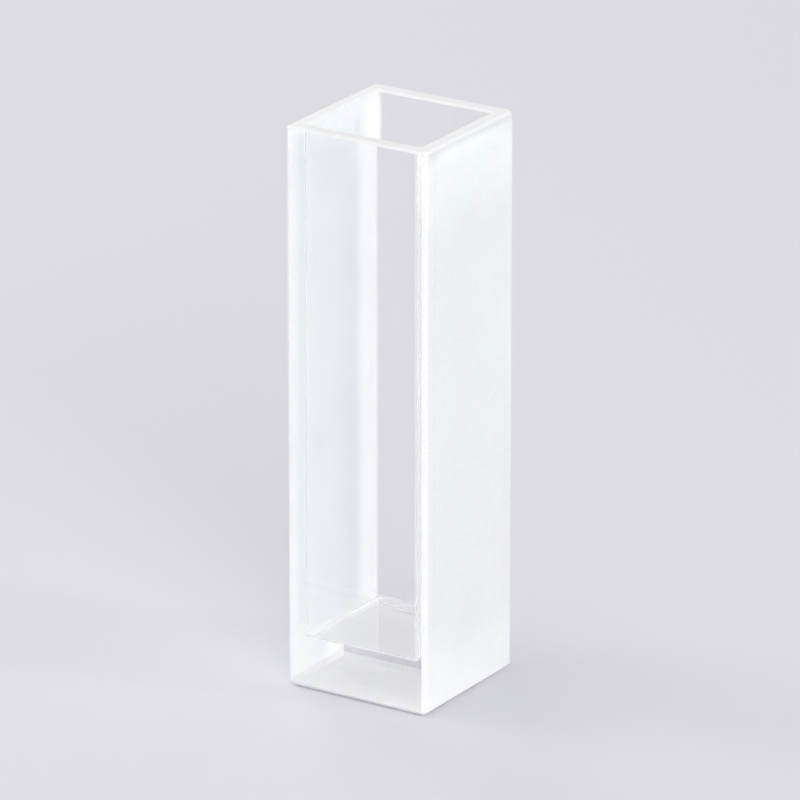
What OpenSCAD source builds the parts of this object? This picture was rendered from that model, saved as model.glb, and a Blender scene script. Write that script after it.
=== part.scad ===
// Rectangular cell for reading liquids in a beam of light, open at the top.
// Two polished windows, two ground sides and a thick base are fused into one
// piece of glass, so nothing comes apart. Every sharp edge is taken off with
// a small ground bevel, and the well keeps the fused radius in its corners.
//
// Millimetres, standing on its base: the origin is the middle of the foot,
// +Z runs to the mouth, and the light passes along Y, through the windows.

/* [Well] */
// Light path, from the inner face of one window to the other
path_length = 10; // [5:0.5:20]
// Distance between the inner faces of the two ground sides
well_width = 10; // [5:0.5:20]
// Radius of the fused corners, upright and round the floor
well_radius = 0.2; // [0.1:0.05:1]

/* [Glass] */
// Thickness of each polished window
window_thickness = 1.25; // [1:0.05:2.5]
// Thickness of each ground side
side_thickness = 1.25; // [1:0.05:2.5]
// Thickness of the base under the well
base_thickness = 4; // [1.25:0.25:8]
// Height over all, from the foot to the rim
cell_height = 45; // [20:1:60]

/* [Ground edges] */
// Bevel along the four upright corners, measured on each face
corner_bevel = 0.35; // [0.1:0.05:0.6]
// Bevel round the foot
foot_bevel = 0.35; // [0.1:0.05:0.6]
// Bevel along both edges of the rim, outside and inside
rim_bevel = 0.2; // [0.05:0.05:0.4]

/* [Hidden] */
$fn = 64;

cell_width = well_width + 2 * side_thickness;
cell_depth = path_length + 2 * window_thickness;
// How far a cut runs on past the glass that it opens
overshoot = 1;

// Rectangle about the origin with its four corners cut off at 45 degrees
module bevelled_plan(width, depth, bevel) {
    x = width / 2;
    y = depth / 2;
    polygon([
        [x - bevel, -y], [x, -y + bevel], [x, y - bevel], [x - bevel, y],
        [-x + bevel, y], [-x, y - bevel], [-x, -y + bevel], [-x + bevel, -y]
    ]);
}

// Rectangle about the origin with round corners
module rounded_plan(width, depth, radius) {
    square([width - 2 * radius, depth], center = true);
    square([width, depth - 2 * radius], center = true);
    for (x = [-1, 1], y = [-1, 1])
        translate([x * (width / 2 - radius), y * (depth / 2 - radius)])
            circle(radius);
}

// Stands an upright section on the ground, drawn in X and Z, and runs it
// along Y for the given length, centred
module run_along_y(length) {
    rotate([90, 0, 0])
        linear_extrude(length, center = true)
            children();
}

// Upright section of the solid block: bevelled at the foot and at the rim
module block_section(width) {
    x = width / 2;
    polygon([
        [-x + foot_bevel, 0], [x - foot_bevel, 0],
        [x, foot_bevel], [x, cell_height - rim_bevel],
        [x - rim_bevel, cell_height], [-x + rim_bevel, cell_height],
        [-x, cell_height - rim_bevel], [-x, foot_bevel]
    ]);
}

// The block before the well is opened: the upright plan, cut by its section
// seen from the front and from the side, which bevels all twelve edges
module block() {
    intersection() {
        linear_extrude(cell_height)
            bevelled_plan(cell_width, cell_depth, corner_bevel);
        run_along_y(cell_depth)
            block_section(cell_width);
        rotate(90)
            run_along_y(cell_width)
                block_section(cell_depth);
    }
}

// Upright section of the well: a flat floor that turns up into the walls
module well_section(width) {
    inner = width / 2 - well_radius;
    top = cell_height + overshoot;
    translate([0, base_thickness]) {
        translate([-width / 2, well_radius])
            square([width, top - base_thickness - well_radius]);
        translate([-inner, 0])
            square([2 * inner, well_radius + overshoot]);
        for (x = [-inner, inner])
            translate([x, well_radius])
                circle(well_radius);
    }
}

// The well: a round-cornered shaft with the same radius round its floor
module well() {
    intersection() {
        linear_extrude(cell_height + overshoot)
            rounded_plan(well_width, path_length, well_radius);
        run_along_y(cell_depth)
            well_section(well_width);
        rotate(90)
            run_along_y(cell_width)
                well_section(path_length);
    }
}

// One pair of flats of the mouth's bevel, on opposite walls
module mouth_flats(span, length) {
    rise = rim_bevel + overshoot;
    x = span / 2;
    run_along_y(length)
        polygon([[-x, 0], [x, 0], [x + rise, rise], [-x - rise, rise]]);
}

// What the inner rim bevel takes off: flats along the walls, joined round
// the well's corners by cones
module mouth_bevel() {
    rise = rim_bevel + overshoot;
    corner_x = well_width / 2 - well_radius;
    corner_y = path_length / 2 - well_radius;
    translate([0, 0, cell_height - rim_bevel]) {
        mouth_flats(well_width, 2 * corner_y);
        rotate(90)
            mouth_flats(path_length, 2 * corner_x);
        for (x = [-corner_x, corner_x], y = [-corner_y, corner_y])
            translate([x, y])
                cylinder(r1 = well_radius, r2 = well_radius + rise, h = rise);
    }
}

// The whole cell: one piece of glass
module cuvette() {
    color([0.87, 0.89, 0.93])
        difference() {
            block();
            well();
            mouth_bevel();
        }
}

cuvette();
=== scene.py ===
import math

import bmesh
import bpy
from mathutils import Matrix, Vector


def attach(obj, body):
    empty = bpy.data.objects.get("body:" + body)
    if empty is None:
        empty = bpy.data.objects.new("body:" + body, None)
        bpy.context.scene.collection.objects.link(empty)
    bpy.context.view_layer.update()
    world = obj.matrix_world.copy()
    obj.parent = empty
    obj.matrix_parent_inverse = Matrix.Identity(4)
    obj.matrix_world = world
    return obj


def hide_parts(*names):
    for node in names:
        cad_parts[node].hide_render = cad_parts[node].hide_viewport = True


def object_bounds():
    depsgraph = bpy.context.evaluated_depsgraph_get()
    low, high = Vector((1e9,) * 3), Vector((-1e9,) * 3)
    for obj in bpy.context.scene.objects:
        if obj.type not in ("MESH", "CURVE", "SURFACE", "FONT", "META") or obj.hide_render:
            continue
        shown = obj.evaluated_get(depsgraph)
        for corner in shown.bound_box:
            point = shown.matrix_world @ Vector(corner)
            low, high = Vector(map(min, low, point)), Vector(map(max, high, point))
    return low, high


# A 10 mm light path cell in fused silica: two polished windows, two ground
# sides and a thick base in one piece of glass, standing on a pale sweep.

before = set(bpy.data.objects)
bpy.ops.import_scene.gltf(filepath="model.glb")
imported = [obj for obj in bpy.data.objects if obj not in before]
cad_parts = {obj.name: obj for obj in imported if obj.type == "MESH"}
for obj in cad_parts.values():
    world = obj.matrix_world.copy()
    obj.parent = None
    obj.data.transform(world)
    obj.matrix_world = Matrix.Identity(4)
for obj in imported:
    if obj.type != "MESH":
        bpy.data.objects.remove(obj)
cadLow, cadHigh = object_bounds()
mm = 0.001
print("frame loaded, box in mm:", [round(size / mm, 2) for size in cadHigh - cadLow])


def hexColour(code):
    channels = [int(code[i:i + 2], 16) / 255 for i in (1, 3, 5)]
    linear = [c / 12.92 if c <= 0.04045 else ((c + 0.055) / 1.055) ** 2.4 for c in channels]
    return (*linear, 1.0)


# Adds a node, sets its settings, and fills its inputs with values or links
def addNode(tree, kind, settings=None, inputs=None):
    node = tree.nodes.new(kind)
    for name, value in (settings or {}).items():
        setattr(node, name, value)
    for name, value in (inputs or {}).items():
        if isinstance(value, bpy.types.NodeSocket):
            tree.links.new(value, node.inputs[name])
        else:
            node.inputs[name].default_value = value
    return node


def newMaterial(name):
    material = bpy.data.materials.new(name)
    material.use_nodes = True
    material.node_tree.nodes.clear()
    return material, material.node_tree


# Cell: sizes of the glass, in metres, inside the box that the frame gives
cell = {
    "windowThickness": 1.25 * mm,
    "sideThickness": 1.25 * mm,
    "baseThickness": 4 * mm,
    "cornerBevel": 0.35 * mm,
    "footBevel": 0.35 * mm,
    "rimBevel": 0.2 * mm,
    "wellRadius": 0.2 * mm,
    "radiusSteps": 10,
    "tolerance": 0.01 * mm,  # for telling which edge lies where
    "facing": 0.5,  # a face looks along an axis if its normal has more than this of it
    "flat": 0.9,  # a face is level, not a bevel, if its normal is this upright
}
silica = {
    "ior": 1.458,  # fused silica in yellow light
    "clear": "#FEFEFE",
    "lampShare": 0.95,  # a polished face turns back about a twentieth of the light
    "noiseSpan": {"From Min": 0.3, "From Max": 0.7},  # nearly all of a noise lies within
    # polished windows and well
    "drag": 6 * mm,  # length of the faint waves that polishing leaves
    "dragBump": {"Strength": 0.02, "Distance": 0.01 * mm},
    # fused corners of the well
    "filletClear": 0.5,
    "filletGlow": 0.4,
    "filletRough": {"To Min": 0.425, "To Max": 0.575},
    "ripple": 1.5 * mm,  # length of the waves that fusing leaves along a corner
    # grain of every ground face
    "gritSpan": {"From Min": 0.35, "From Max": 0.6},  # of the noise, from pit to flat
    "gritShade": {"To Min": 0.95, "To Max": 1.0},  # a pit looks a little darker
    "cloudSpan": {"From Min": 0.35, "From Max": 0.65},
    "cloudShade": {"To Min": 0.975, "To Max": 1.0},
    # ground sides
    "groundMiddle": "#F8FCFB",  # faintly green, over the empty well
    "groundBackedPaintedLight": "#F9FAFA",  # over solid glass, part of the painted light there
    "groundClear": 0.15,  # what a side lets through over the well, none over glass, part of the painted light there
    "groundRough": {"To Min": 0.5, "To Max": 0.62},
    "groundBump": {"Strength": 0.3, "Distance": 0.01 * mm},
    "grit": 0.14 * mm,  # real pits are near 0.03 mm, drawn coarser so that they show
    "cloud": 4 * mm,
    "glow": 0.35,  # share of the light on a side that shows on its other face
    "cornerGlow": 0.5,  # more near the windows, which bring light to it
    "backedBlend": 2.4 * mm,  # over which the painted whiter glass fades into the middle
    "backedPast": 0.2 * mm,  # how far past the window's inner face the painted light is strongest
    "baseBlend": (-0.4 * mm, 1.2 * mm),  # the same from below the well's floor to above it
    "seam": 0.07 * mm,  # hairline where a side plate was fused to a window plate
    "seamShade": {"To Min": 0.94, "To Max": 1.0},
    # rim, bevels and foot
    "groundRim": "#FBFBFB",
    "edgeClear": 0.05,
    "edgeGlow": 0.12,
    "edgeRough": {"To Min": 0.45, "To Max": 0.6},
    "edgeBump": {"Strength": 0.4, "Distance": 0.015 * mm},
    "edgeGrit": 0.182 * mm,  # a coarser grit than on the sides
    "edgeCloud": 2 * mm,
    "footClear": 0.02,
    "footGlow": 0.02,  # the foot is nearly opaque
}


# Fine even grain left by loose grit on a lapping plate, with slow clouding.
# Gives the height of the pits, the clouds, and the colour shaded by both
def grainFields(tree, place, grit, cloud, colour):
    pits = addNode(tree, "ShaderNodeTexNoise", inputs={
        "Vector": place, "Scale": 1 / grit, "Detail": 2.0, "Roughness": 0.6})
    clouds = addNode(tree, "ShaderNodeTexNoise", inputs={
        "Vector": place, "Scale": 1 / cloud, "Detail": 3.0, "Roughness": 0.5})
    pitted = addNode(tree, "ShaderNodeMapRange", inputs={
        "Value": pits.outputs["Fac"], **silica["gritSpan"], **silica["gritShade"]})
    clouded = addNode(tree, "ShaderNodeMapRange", inputs={
        "Value": clouds.outputs["Fac"], **silica["cloudSpan"], **silica["cloudShade"]})
    shade = addNode(tree, "ShaderNodeMath", {"operation": "MULTIPLY"}, {
        0: pitted.outputs[0], 1: clouded.outputs[0]})
    shaded = addNode(tree, "ShaderNodeVectorMath", {"operation": "SCALE"}, {
        0: colour, "Scale": shade.outputs[0]})
    return pits.outputs["Fac"], clouds.outputs["Fac"], shaded.outputs[0]


# Lets most of the lamps' light through, as thin clear glass does, because
# a path tracer can't aim shadow rays through a bending surface
def passLamps(tree, shader):
    share = silica["lampShare"]
    rays = addNode(tree, "ShaderNodeLightPath")
    through = addNode(tree, "ShaderNodeBsdfTransparent", inputs={"Color": (share, share, share, 1)})
    both = addNode(tree, "ShaderNodeMixShader", inputs={
        0: rays.outputs["Is Shadow Ray"], 1: shader, 2: through.outputs[0]})
    return both.outputs[0]


# Polished fused silica: flat to a fraction of a wave, so it shows only as
# clean reflections and as bent edges
def polishedSilica(name):
    material, tree = newMaterial(name)
    place = addNode(tree, "ShaderNodeTexCoord").outputs["Object"]
    drag = addNode(tree, "ShaderNodeTexNoise", inputs={
        "Vector": place, "Scale": 1 / silica["drag"], "Detail": 1.0})
    wave = addNode(tree, "ShaderNodeBump", inputs={
        "Height": drag.outputs["Fac"], **silica["dragBump"]})
    glass = addNode(tree, "ShaderNodeBsdfPrincipled", inputs={
        "Base Color": hexColour(silica["clear"]), "Roughness": 0.0, "IOR": silica["ior"],
        "Transmission Weight": 1.0, "Normal": wave.outputs[0]})
    addNode(tree, "ShaderNodeOutputMaterial", inputs={
        "Surface": passLamps(tree, glass.outputs[0])})
    return material


# Light that a ground or hazy skin blurs and passes on to its far side
def groundSkin(tree, shader, colour, glow):
    passed = addNode(tree, "ShaderNodeBsdfTranslucent", inputs={"Color": colour})
    both = addNode(tree, "ShaderNodeMixShader", inputs={
        0: glow, 1: shader, 2: passed.outputs[0]})
    return both.outputs[0]


# Fused corner of the well: left as the furnace leaves it, neither ground nor
# polished, so it is hazy and draws a soft pale line where two plates meet
def fusedSilica(name):
    material, tree = newMaterial(name)
    place = addNode(tree, "ShaderNodeTexCoord").outputs["Object"]
    ripple = addNode(tree, "ShaderNodeTexNoise", inputs={
        "Vector": place, "Scale": 1 / silica["ripple"], "Detail": 1.0})
    rough = addNode(tree, "ShaderNodeMapRange", inputs={
        "Value": ripple.outputs["Fac"], **silica["noiseSpan"], **silica["filletRough"]})
    colour = hexColour(silica["clear"])
    glass = addNode(tree, "ShaderNodeBsdfPrincipled", inputs={
        "Base Color": colour, "Roughness": rough.outputs[0], "IOR": silica["ior"],
        "Transmission Weight": silica["filletClear"]})
    hazy = groundSkin(tree, glass.outputs[0], colour, silica["filletGlow"])
    addNode(tree, "ShaderNodeOutputMaterial", inputs={"Surface": passLamps(tree, hazy)})
    return material


# Ground fused silica: lapped with fine grit, so it is white and half opaque. Over solid glass it
# is painted light: another colour and nothing let through, so it looks whiter than over the well
def groundSilica(name):
    material, tree = newMaterial(name)
    place = addNode(tree, "ShaderNodeTexCoord").outputs["Object"]
    axes = addNode(tree, "ShaderNodeSeparateXYZ", inputs={0: place}).outputs
    wellHalf = (cadHigh.y - cadLow.y) / 2 - cell["windowThickness"]
    across = addNode(tree, "ShaderNodeMath", {"operation": "ABSOLUTE"}, {0: axes["Y"]})
    overWindow = addNode(tree, "ShaderNodeMapRange", {"interpolation_type": "SMOOTHSTEP"}, {
        "Value": across.outputs[0], "From Min": wellHalf - silica["backedBlend"],
        "From Max": wellHalf + silica["backedPast"]})
    below, above = silica["baseBlend"]
    overBase = addNode(tree, "ShaderNodeMapRange", {"interpolation_type": "SMOOTHSTEP"}, {
        "Value": axes["Z"], "From Min": cell["baseThickness"] + above,
        "From Max": cell["baseThickness"] + below})
    # Painted light: where solid glass lies behind the skin, over the window plates and the base, it
    # takes the backed colour and lets nothing through, standing in for light that the solid glass
    # carries to it
    backedPaintedLight = addNode(tree, "ShaderNodeMath", {"operation": "MAXIMUM"}, {
        0: overWindow.outputs[0], 1: overBase.outputs[0]})
    fromSeam = addNode(tree, "ShaderNodeMath", {"operation": "SUBTRACT"}, {
        0: across.outputs[0], 1: wellHalf})
    besideSeam = addNode(tree, "ShaderNodeMath", {"operation": "ABSOLUTE"}, {
        0: fromSeam.outputs[0]})
    seam = addNode(tree, "ShaderNodeMapRange", {"interpolation_type": "SMOOTHSTEP"}, {
        "Value": besideSeam.outputs[0], "From Min": 0.0, "From Max": silica["seam"],
        **silica["seamShade"]})
    base = addNode(tree, "ShaderNodeMix", {"data_type": "RGBA"}, {
        0: backedPaintedLight.outputs[0], 6: hexColour(silica["groundMiddle"]),
        7: hexColour(silica["groundBackedPaintedLight"])})
    seamed = addNode(tree, "ShaderNodeVectorMath", {"operation": "SCALE"}, {
        0: base.outputs[2], "Scale": seam.outputs[0]})
    pits, clouds, colour = grainFields(
        tree, place, silica["grit"], silica["cloud"], seamed.outputs[0])
    clear = addNode(tree, "ShaderNodeMapRange", inputs={
        "Value": backedPaintedLight.outputs[0], "To Min": silica["groundClear"], "To Max": 0.0})
    besideWindow = addNode(tree, "ShaderNodeMath", {"operation": "SUBTRACT"}, {
        0: overWindow.outputs[0], 1: overBase.outputs[0]})
    glow = addNode(tree, "ShaderNodeMapRange", inputs={
        "Value": besideWindow.outputs[0], "To Min": silica["glow"], "To Max": silica["cornerGlow"]})
    rough = addNode(tree, "ShaderNodeMapRange", inputs={
        "Value": clouds, **silica["noiseSpan"], **silica["groundRough"]})
    skin = addNode(tree, "ShaderNodeBump", inputs={"Height": pits, **silica["groundBump"]})
    glass = addNode(tree, "ShaderNodeBsdfPrincipled", inputs={
        "Base Color": colour, "Roughness": rough.outputs[0], "IOR": silica["ior"],
        "Transmission Weight": clear.outputs[0], "Normal": skin.outputs[0]})
    addNode(tree, "ShaderNodeOutputMaterial", inputs={
        "Surface": groundSkin(tree, glass.outputs[0], colour, glow.outputs[0])})
    return material


# Ground edges: the rim, the bevels and the foot, worked by hand with a coarser
# grit, so they are whiter and let less through
def groundEdgeSilica(name, clear, glow):
    material, tree = newMaterial(name)
    place = addNode(tree, "ShaderNodeTexCoord").outputs["Object"]
    pits, clouds, colour = grainFields(
        tree, place, silica["edgeGrit"], silica["edgeCloud"], hexColour(silica["groundRim"])[:3])
    rough = addNode(tree, "ShaderNodeMapRange", inputs={
        "Value": clouds, **silica["noiseSpan"], **silica["edgeRough"]})
    skin = addNode(tree, "ShaderNodeBump", inputs={"Height": pits, **silica["edgeBump"]})
    glass = addNode(tree, "ShaderNodeBsdfPrincipled", inputs={
        "Base Color": colour, "Roughness": rough.outputs[0], "IOR": silica["ior"],
        "Transmission Weight": clear, "Normal": skin.outputs[0]})
    addNode(tree, "ShaderNodeOutputMaterial", inputs={
        "Surface": groundSkin(tree, glass.outputs[0], colour, glow)})
    return material


finishes = {
    "window": polishedSilica("polishedSilicaWindow"),
    "side": groundSilica("groundSilicaSide"),
    "edge": groundEdgeSilica("groundSilicaEdge", silica["edgeClear"], silica["edgeGlow"]),
    "well": polishedSilica("polishedSilicaWell"),
    "fillet": fusedSilica("fusedSilicaFillet"),
    "foot": groundEdgeSilica("groundSilicaFoot", silica["footClear"], silica["footGlow"]),
}
print("materials made:", len(finishes))


# Geometry Nodes: a block is inset at the top, the inset is sunk to make the
# well, and each kind of face gets its finish
def cellTree():
    tree = bpy.data.node_groups.new("fusedCell", "GeometryNodeTree")
    sizes = ("Width", "Depth", "Height", "Window Thickness", "Side Thickness", "Base Thickness")
    for name in sizes:
        tree.interface.new_socket(name, in_out="INPUT", socket_type="NodeSocketFloat")
    tree.interface.new_socket("Geometry", in_out="OUTPUT", socket_type="NodeSocketGeometry")
    given = addNode(tree, "NodeGroupInput").outputs
    size = addNode(tree, "ShaderNodeCombineXYZ", inputs={
        0: given["Width"], 1: given["Depth"], 2: given["Height"]})
    block = addNode(tree, "GeometryNodeMeshCube", inputs={"Size": size.outputs[0]})
    lift = addNode(tree, "ShaderNodeVectorMath", {"operation": "MULTIPLY"}, {
        0: size.outputs[0], 1: (0, 0, 0.5)})
    standing = addNode(tree, "GeometryNodeTransform", inputs={
        "Geometry": block.outputs["Mesh"], "Translation": lift.outputs[0]})
    normal = addNode(tree, "GeometryNodeInputNormal")
    facing = addNode(tree, "ShaderNodeSeparateXYZ", inputs={0: normal.outputs[0]}).outputs
    facesUp = addNode(tree, "FunctionNodeCompare", {"operation": "GREATER_THAN"}, {
        0: facing["Z"], 1: cell["facing"]})
    inset = addNode(tree, "GeometryNodeExtrudeMesh", {"mode": "FACES"}, {
        "Mesh": standing.outputs[0], "Selection": facesUp.outputs[0], "Offset Scale": 0.0,
        "Individual": False})
    walls = addNode(tree, "ShaderNodeCombineXYZ", inputs={
        0: given["Side Thickness"], 1: given["Window Thickness"]})
    bothWalls = addNode(tree, "ShaderNodeVectorMath", {"operation": "SCALE"}, {
        0: walls.outputs[0], "Scale": 2.0})
    wallShare = addNode(tree, "ShaderNodeVectorMath", {"operation": "DIVIDE"}, {
        0: bothWalls.outputs[0], 1: size.outputs[0]})
    shrink = addNode(tree, "ShaderNodeVectorMath", {"operation": "SUBTRACT"}, {
        0: (1, 1, 1), 1: wallShare.outputs[0]})
    place = addNode(tree, "GeometryNodeInputPosition")
    mouth = addNode(tree, "ShaderNodeVectorMath", {"operation": "MULTIPLY"}, {
        0: place.outputs[0], 1: shrink.outputs[0]})
    rimmed = addNode(tree, "GeometryNodeSetPosition", inputs={
        "Geometry": inset.outputs["Mesh"], "Selection": inset.outputs["Top"],
        "Position": mouth.outputs[0]})
    wellDepth = addNode(tree, "ShaderNodeMath", {"operation": "SUBTRACT"}, {
        0: given["Height"], 1: given["Base Thickness"]})
    down = addNode(tree, "ShaderNodeCombineXYZ", inputs={2: -1.0})
    sunk = addNode(tree, "GeometryNodeExtrudeMesh", {"mode": "FACES"}, {
        "Mesh": rimmed.outputs[0], "Selection": inset.outputs["Top"], "Offset": down.outputs[0],
        "Offset Scale": wellDepth.outputs[0], "Individual": False})
    real = addNode(tree, "GeometryNodeRealizeInstances", inputs={0: sunk.outputs["Mesh"]})

    inWell = addNode(tree, "FunctionNodeBooleanMath", {"operation": "OR"}, {
        0: sunk.outputs["Side"], 1: sunk.outputs["Top"]})
    acrossX = addNode(tree, "ShaderNodeMath", {"operation": "ABSOLUTE"}, {0: facing["X"]})
    facesSide = addNode(tree, "FunctionNodeCompare", {"operation": "GREATER_THAN"}, {
        0: acrossX.outputs[0], 1: cell["facing"]})
    facesDown = addNode(tree, "FunctionNodeCompare", {"operation": "LESS_THAN"}, {
        0: facing["Z"], 1: -cell["facing"]})
    picked = (
        ("window", None),
        ("side", facesSide.outputs[0]),
        ("edge", inset.outputs["Side"]),
        ("well", inWell.outputs[0]),
        ("foot", facesDown.outputs[0]),
    )
    shape = real.outputs[0]
    for finish, selection in picked:
        inputs = {"Geometry": shape, "Material": finishes[finish]}
        if selection is not None:
            inputs["Selection"] = selection
        shape = addNode(tree, "GeometryNodeSetMaterial", inputs=inputs).outputs[0]
    addNode(tree, "NodeGroupOutput", inputs={0: shape})
    return tree


# Edges of the mesh for which test(a, b) is true of both ends
def edgesWhere(cutting, test):
    return [edge for edge in cutting.edges if test(edge.verts[0].co, edge.verts[1].co)]


# The edges round a level part of the glass: a flat face on one side only
def edgesRound(cutting, height):
    chosen = []
    for edge in cutting.edges:
        level = all(abs(vert.co.z - height) < cell["tolerance"] for vert in edge.verts)
        flats = sum(abs(face.normal.z) > cell["flat"] for face in edge.link_faces)
        if level and flats == 1:
            chosen.append(edge)
    return chosen


def bevelEdges(cutting, edges, width, steps, slot):
    bmesh.ops.bevel(
        cutting, geom=edges, offset=width, offset_type="OFFSET", segments=steps, profile=0.5,
        affect="EDGES", material=slot)
    cutting.normal_update()


# The four flats of the rim, the only level faces with over four corners, meet
# in seams from corner to corner. The ends of these are set clear of the bevels,
# so that no sliver of the rim folds over
def clearRimCorners(cutting, mouthHalf, outerHalf):
    for edge in cutting.edges:
        rimOnly = all(
            len(face.verts) > 4 and face.normal.z > cell["flat"] for face in edge.link_faces)
        if rimOnly:
            ends = sorted((vert.co for vert in edge.verts), key=lambda point: abs(point.x))
            for point, half in zip(ends, (mouthHalf, outerHalf)):
                point.x = math.copysign(half, point.x)
                point.y = math.copysign(half, point.y)
    cutting.normal_update()


def makeCell():
    width, depth, height = cadHigh - cadLow
    mesh = bpy.data.meshes.new("cellStart")
    maker = bpy.data.objects.new("cellMaker", mesh)
    bpy.context.scene.collection.objects.link(maker)
    tree = cellTree()
    nodes = maker.modifiers.new("fusedCell", "NODES")
    nodes.node_group = tree
    sizes = {
        "Width": width, "Depth": depth, "Height": height,
        "Window Thickness": cell["windowThickness"], "Side Thickness": cell["sideThickness"],
        "Base Thickness": cell["baseThickness"],
    }
    for item in tree.interface.items_tree:
        if item.in_out == "INPUT":
            nodes[item.identifier] = sizes[item.name]
    settled = maker.evaluated_get(bpy.context.evaluated_depsgraph_get())
    glass = bpy.data.meshes.new_from_object(settled)
    bpy.data.objects.remove(maker)
    glass.materials.pop(index=0)  # the empty slot that the block starts with
    glass.materials.append(finishes["fillet"])

    slots = {finish: glass.materials.find(made.name) for finish, made in finishes.items()}
    cutting = bmesh.new()
    cutting.from_mesh(glass)
    bmesh.ops.remove_doubles(cutting, verts=cutting.verts, dist=cell["tolerance"])
    halfWell = width / 2 - cell["sideThickness"] + cell["tolerance"]
    top = height - cell["tolerance"]

    def inner(point):
        return abs(point.x) < halfWell and abs(point.y) < halfWell and point.z > cell["tolerance"]

    def inWell(a, b):
        return inner(a) and inner(b) and not (a.z > top and b.z > top)

    def outerUpright(a, b):
        return not inner(a) and not inner(b) and abs(a.z - b.z) > height / 2

    wellEdges = edgesWhere(cutting, inWell)
    bevelEdges(cutting, wellEdges, cell["wellRadius"], cell["radiusSteps"], slots["fillet"])
    cornerEdges = edgesWhere(cutting, outerUpright)
    bevelEdges(cutting, cornerEdges, cell["cornerBevel"], 1, slots["edge"])
    bevelEdges(cutting, edgesRound(cutting, 0), cell["footBevel"], 1, slots["edge"])
    bevelEdges(cutting, edgesRound(cutting, height), cell["rimBevel"], 1, slots["edge"])
    bmesh.ops.recalc_face_normals(cutting, faces=cutting.faces)
    mouthHalf = width / 2 - cell["sideThickness"] + cell["rimBevel"]
    clearRimCorners(cutting, mouthHalf, width / 2 - cell["cornerBevel"])
    for face in cutting.faces:
        if face.normal.z > cell["flat"] and face.calc_center_median().z > top:
            face.material_index = slots["edge"]  # the corner pieces of the rim too
    cutting.to_mesh(glass)
    cutting.free()
    glass.name = "cuvetteGlass"
    piece = bpy.data.objects.new("cuvetteGlass", glass)
    bpy.context.scene.collection.objects.link(piece)
    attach(piece, "root")
    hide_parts("cuvette")
    return piece


glassCell = makeCell()
print("cell made:", len(glassCell.data.polygons), "faces")


# Studio: pale floor, even sky, soft lamps all round and a wide one overhead
studio = {
    "floorSize": 6.0,
    "floorGap": 0.05 * mm,  # air under the foot, as under any ground foot on a bench
    "floorColour": "#DEDDE4",
    "floorRough": 0.9,
    "backColour": "#DEDDE5",
    "fadeStart": 0.12,  # metres from the cell where the floor starts to run into the
    "fadeEnd": 0.5,  # backdrop, and where it has done so
    "skyColour": "#F8F8F8",
    "skyStrength": 0.47,
    "aim": Vector((0, 0, 0.022)),
}
lamps = {
    "keyRight": {"place": (0.70, -0.62, 0.30), "size": (0.5, 0.5), "power": 3.7},
    "stripRight": {"place": (0.85, 0.21, 0.14), "size": (0.07, 0.24), "power": 1.8},
    "frontLeft": {"place": (-0.82, -0.20, 0.28), "size": (0.5, 0.5), "power": 2.25},
    "backLeft": {"place": (-0.72, 0.5, 0.28), "size": (0.5, 0.5), "power": 2.0},
    "overhead": {"place": (-0.1, -0.25, 1.0), "size": (0.7, 0.7), "power": 3.1},
}


# True for the rays that show a surface, false for those that light one
def seenRays(tree):
    rays = addNode(tree, "ShaderNodeLightPath").outputs
    glassy = addNode(tree, "ShaderNodeMath", {"operation": "MAXIMUM"}, {
        0: rays["Is Glossy Ray"], 1: rays["Is Transmission Ray"]})
    seen = addNode(tree, "ShaderNodeMath", {"operation": "MAXIMUM"}, {
        0: rays["Is Camera Ray"], 1: glassy.outputs[0]})
    return seen.outputs[0]


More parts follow.
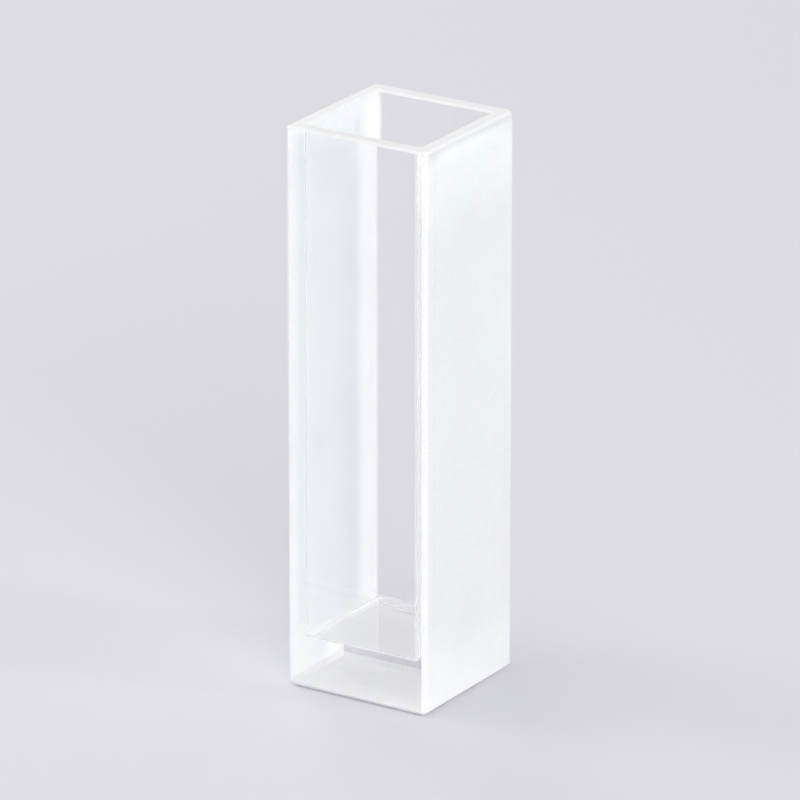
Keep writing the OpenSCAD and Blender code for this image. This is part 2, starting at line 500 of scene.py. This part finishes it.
# Paper that runs into an even backdrop far from the cell
def makeFloor():
    half = studio["floorSize"] / 2
    mesh = bpy.data.meshes.new("floor")
    level = -studio["floorGap"]
    corners = [
        (-half, -half, level), (half, -half, level), (half, half, level), (-half, half, level)]
    mesh.from_pydata(corners, [], [(0, 1, 2, 3)])
    material, tree = newMaterial("paperFloor")
    paper = addNode(tree, "ShaderNodeBsdfPrincipled", inputs={
        "Base Color": hexColour(studio["floorColour"]), "Roughness": studio["floorRough"]})
    backdrop = addNode(tree, "ShaderNodeEmission", inputs={
        "Color": hexColour(studio["backColour"])})
    place = addNode(tree, "ShaderNodeTexCoord").outputs["Object"]
    away = addNode(tree, "ShaderNodeVectorMath", {"operation": "LENGTH"}, {0: place})
    far = addNode(tree, "ShaderNodeMapRange", {"interpolation_type": "SMOOTHSTEP"}, {
        "Value": away.outputs["Value"], "From Min": studio["fadeStart"],
        "From Max": studio["fadeEnd"]})
    share = addNode(tree, "ShaderNodeMath", {"operation": "MULTIPLY"}, {
        0: far.outputs[0], 1: seenRays(tree)})
    both = addNode(tree, "ShaderNodeMixShader", inputs={
        0: share.outputs[0], 1: paper.outputs[0], 2: backdrop.outputs[0]})
    addNode(tree, "ShaderNodeOutputMaterial", inputs={"Surface": both.outputs[0]})
    mesh.materials.append(material)
    floor = bpy.data.objects.new("floor", mesh)
    bpy.context.scene.collection.objects.link(floor)


def makeSky():
    world = bpy.data.worlds.new("studioSky")
    world.use_nodes = True
    tree = world.node_tree
    tree.nodes.clear()
    sky = addNode(tree, "ShaderNodeBackground", inputs={
        "Color": hexColour(studio["skyColour"]), "Strength": studio["skyStrength"]})
    backdrop = addNode(tree, "ShaderNodeBackground", inputs={
        "Color": hexColour(studio["backColour"])})
    both = addNode(tree, "ShaderNodeMixShader", inputs={
        0: seenRays(tree), 1: sky.outputs[0], 2: backdrop.outputs[0]})
    addNode(tree, "ShaderNodeOutputWorld", inputs={"Surface": both.outputs[0]})
    bpy.context.scene.world = world


def pointAt(thing, target):
    thing.rotation_mode = "QUATERNION"
    thing.rotation_quaternion = (target - thing.location).to_track_quat("-Z", "Y")


def makeLamps():
    for name, settings in lamps.items():
        light = bpy.data.lights.new(name, "AREA")
        light.shape = "RECTANGLE"
        light.size, light.size_y = settings["size"]
        light.energy = settings["power"]
        lamp = bpy.data.objects.new(name, light)
        lamp.location = settings["place"]
        pointAt(lamp, studio["aim"])
        bpy.context.scene.collection.objects.link(lamp)


camera = {
    "azimuth": 32.5,
    "elevation": 20.0,
    "distance": 0.6,
    "lens": 356.0,  # millimetres
    "clip": (0.01, 20.0),
}


def makeCamera():
    data = bpy.data.cameras.new("camera")
    data.lens = camera["lens"]
    data.clip_start, data.clip_end = camera["clip"]
    eye = bpy.data.objects.new("camera", data)
    turn, lift = math.radians(camera["azimuth"]), math.radians(camera["elevation"])
    level = math.cos(lift)
    back = Vector((math.sin(turn) * level, -math.cos(turn) * level, math.sin(lift)))
    middle = (cadLow + cadHigh) / 2
    eye.location = middle + back * camera["distance"]
    pointAt(eye, middle)
    bpy.context.scene.collection.objects.link(eye)
    bpy.context.scene.camera = eye


makeFloor()
makeSky()
makeLamps()
makeCamera()
bpy.context.scene.view_settings.view_transform = "Standard"
print("studio ready")
